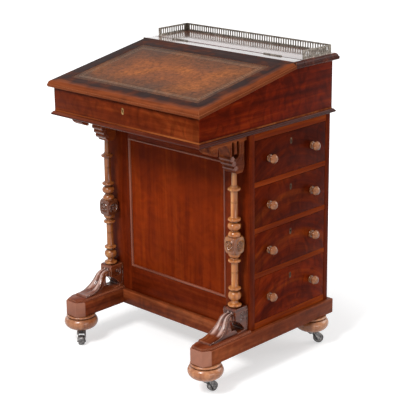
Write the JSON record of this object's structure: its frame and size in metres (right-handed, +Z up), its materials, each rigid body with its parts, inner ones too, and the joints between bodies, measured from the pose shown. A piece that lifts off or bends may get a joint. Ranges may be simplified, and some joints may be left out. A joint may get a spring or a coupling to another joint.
{
  "type": "davenport desk",
  "caption": "Small davenport writing desk: hinged leather slope over side drawers, turned front columns with scroll knees, brass gallery and bun feet on casters.",
  "frame": {"origin": "on the floor, under the middle of the desk's box", "axes": "+Z up; the writer sits on the -Y side; the working drawers open towards +X"},
  "size_m": [0.583, 0.53, 0.842],
  "materials": {
    "mahogany": "polished, worn edges",
    "turned_wood": "polished",
    "secondary_wood": "unpolished",
    "leather": "worn, tooled border",
    "brass": "dark patina",
    "caster_iron": "dull"
  },
  "bodies": {
    "carcass": {"runner_left": "mahogany", "runner_right": "mahogany", "plinth_rails": "mahogany", "front_frame": "mahogany", "front_panel": "mahogany", "front_bead": "mahogany", "back_frame": "mahogany", "back_panel": "mahogany", "dummy_fronts": "mahogany", "side_rails": "mahogany", "scroll_knees": "mahogany", "pierced_brackets": "mahogany", "case_floor": "mahogany", "case_front": "mahogany", "case_sides": "mahogany", "case_back": "mahogany", "case_moulding": "mahogany", "top_shelf": "mahogany", "inner_nest": "mahogany", "columns": "turned_wood", "bun_feet": "turned_wood", "dummy_knobs": "turned_wood", "pedestal_floor": "secondary_wood", "left_side_board": "secondary_wood", "drawer_bearers": "secondary_wood", "gallery": "brass", "fixed_hinges": "brass", "case_lock": "brass", "caster_plates": "caster_iron"},
    "lid": {"lid_frame": "mahogany", "lid_hinge_rail": "mahogany", "lid_panel": "secondary_wood", "leather": "leather", "lid_brassware": "brass"},
    "drawer_1": {"drawer_1_front": "mahogany", "drawer_1_box": "secondary_wood", "drawer_1_knobs": "turned_wood", "drawer_1_lock": "brass"},
    "drawer_2": {"drawer_2_front": "mahogany", "drawer_2_box": "secondary_wood", "drawer_2_knobs": "turned_wood", "drawer_2_lock": "brass"},
    "drawer_3": {"drawer_3_front": "mahogany", "drawer_3_box": "secondary_wood", "drawer_3_knobs": "turned_wood", "drawer_3_lock": "brass"},
    "drawer_4": {"drawer_4_front": "mahogany", "drawer_4_box": "secondary_wood", "drawer_4_knobs": "turned_wood", "drawer_4_lock": "brass"},
    "inner_drawer_left": {"inner_drawer_left": "mahogany"},
    "inner_drawer_right": {"inner_drawer_right": "mahogany"},
    "swivel_front_left": {"caster_fork_front_left": "caster_iron"},
    "wheel_front_left": {"caster_wheel_front_left": "caster_iron"},
    "swivel_front_right": {"caster_fork_front_right": "caster_iron"},
    "wheel_front_right": {"caster_wheel_front_right": "caster_iron"},
    "swivel_back_left": {"caster_fork_back_left": "caster_iron"},
    "wheel_back_left": {"caster_wheel_back_left": "caster_iron"},
    "swivel_back_right": {"caster_fork_back_right": "caster_iron"},
    "wheel_back_right": {"caster_wheel_back_right": "caster_iron"}
  },
  "joints": [
    {"name": "lid_hinge", "type": "hinge", "parent": "carcass", "child": "lid", "pos_m": [0, 0.125, 0.82], "axis": [-1, 0, 0], "range_deg": [0, 100]},
    {"name": "drawer_1_slide", "type": "slide", "parent": "carcass", "child": "drawer_1", "axis": [1, 0, 0], "range_m": [0, 0.34]},
    {"name": "drawer_2_slide", "type": "slide", "parent": "carcass", "child": "drawer_2", "axis": [1, 0, 0], "range_m": [0, 0.34]},
    {"name": "drawer_3_slide", "type": "slide", "parent": "carcass", "child": "drawer_3", "axis": [1, 0, 0], "range_m": [0, 0.34]},
    {"name": "drawer_4_slide", "type": "slide", "parent": "carcass", "child": "drawer_4", "axis": [1, 0, 0], "range_m": [0, 0.34]},
    {"name": "inner_drawer_left_slide", "type": "slide", "parent": "carcass", "child": "inner_drawer_left", "axis": [0, -1, 0], "range_m": [0, 0.08]},
    {"name": "inner_drawer_right_slide", "type": "slide", "parent": "carcass", "child": "inner_drawer_right", "axis": [0, -1, 0], "range_m": [0, 0.08]},
    {"name": "swivel_front_left", "type": "hinge", "parent": "carcass", "child": "swivel_front_left", "pos_m": [-0.2425, -0.214, 0.04], "axis": [0, 0, 1], "continuous": true},
    {"name": "roll_front_left", "type": "hinge", "parent": "swivel_front_left", "child": "wheel_front_left", "pos_m": [-0.22694, -0.22956, 0.014], "axis": [0.7071, 0.7071, 0], "continuous": true},
    {"name": "swivel_front_right", "type": "hinge", "parent": "carcass", "child": "swivel_front_right", "pos_m": [0.2425, -0.214, 0.04], "axis": [0, 0, 1], "continuous": true},
    {"name": "roll_front_right", "type": "hinge", "parent": "swivel_front_right", "child": "wheel_front_right", "pos_m": [0.24442, -0.19208, 0.014], "axis": [-0.9962, 0.0872, 0], "continuous": true},
    {"name": "swivel_back_left", "type": "hinge", "parent": "carcass", "child": "swivel_back_left", "pos_m": [-0.2425, 0.211, 0.04], "axis": [0, 0, 1], "continuous": true},
    {"name": "roll_back_left", "type": "hinge", "parent": "swivel_back_left", "child": "wheel_back_left", "pos_m": [-0.25002, 0.23167, 0.014], "axis": [-0.9397, -0.342, 0], "continuous": true},
    {"name": "swivel_back_right", "type": "hinge", "parent": "carcass", "child": "swivel_back_right", "pos_m": [0.2425, 0.211, 0.04], "axis": [0, 0, 1], "continuous": true},
    {"name": "roll_back_right", "type": "hinge", "parent": "swivel_back_right", "child": "wheel_back_right", "pos_m": [0.25002, 0.23167, 0.014], "axis": [-0.9397, 0.342, 0], "continuous": true}
  ]
}
